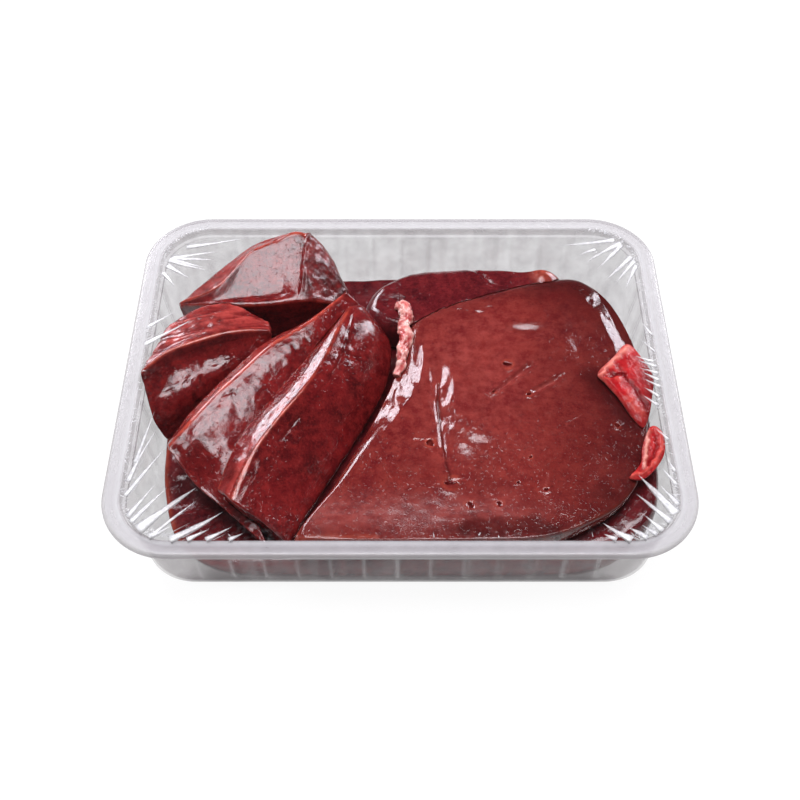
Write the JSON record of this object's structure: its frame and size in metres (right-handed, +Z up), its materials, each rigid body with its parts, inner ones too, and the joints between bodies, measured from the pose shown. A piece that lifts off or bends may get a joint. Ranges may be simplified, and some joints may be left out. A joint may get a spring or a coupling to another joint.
{
  "type": "meat tray pack",
  "caption": "Shallow clear rounded-rectangular plastic tray closed with stretched clear film, packed with raw dark-red liver: a large slab, thick cut slices and a wedge on a bottom piece.",
  "frame": {"origin": "centre of the flat base of the tray, on the surface it stands on", "axes": "+X along the long side, to the right as pictured; +Y along the short side, away from the viewer; +Z up"},
  "size_m": [0.227, 0.179, 0.0486],
  "materials": {
    "tray_plastic": "clear, slightly frosted polypropylene",
    "film_plastic": "clear stretched film with bright pleats",
    "liver_skin": "wet, smooth brown-red liver surface",
    "liver_cut": "wet, finely mottled dark-red cut liver",
    "liver_dark": "wet, very dark red liver",
    "vessel": "wet pink vessel wall and fat"
  },
  "bodies": {
    "root": {"tray": "tray_plastic", "film": "film_plastic", "liver_base": "liver_dark", "liver_slab": "liver_skin", "liver_lobe_back": "liver_dark", "wedge_back_left": "liver_cut", "slice_left": "liver_cut", "slice_mid": "liver_cut", "slice_front": "liver_cut", "vessel_strip_left": "vessel", "vessel_flap_right": "vessel", "vessel_loop_right": "vessel"}
  },
  "joints": []
}
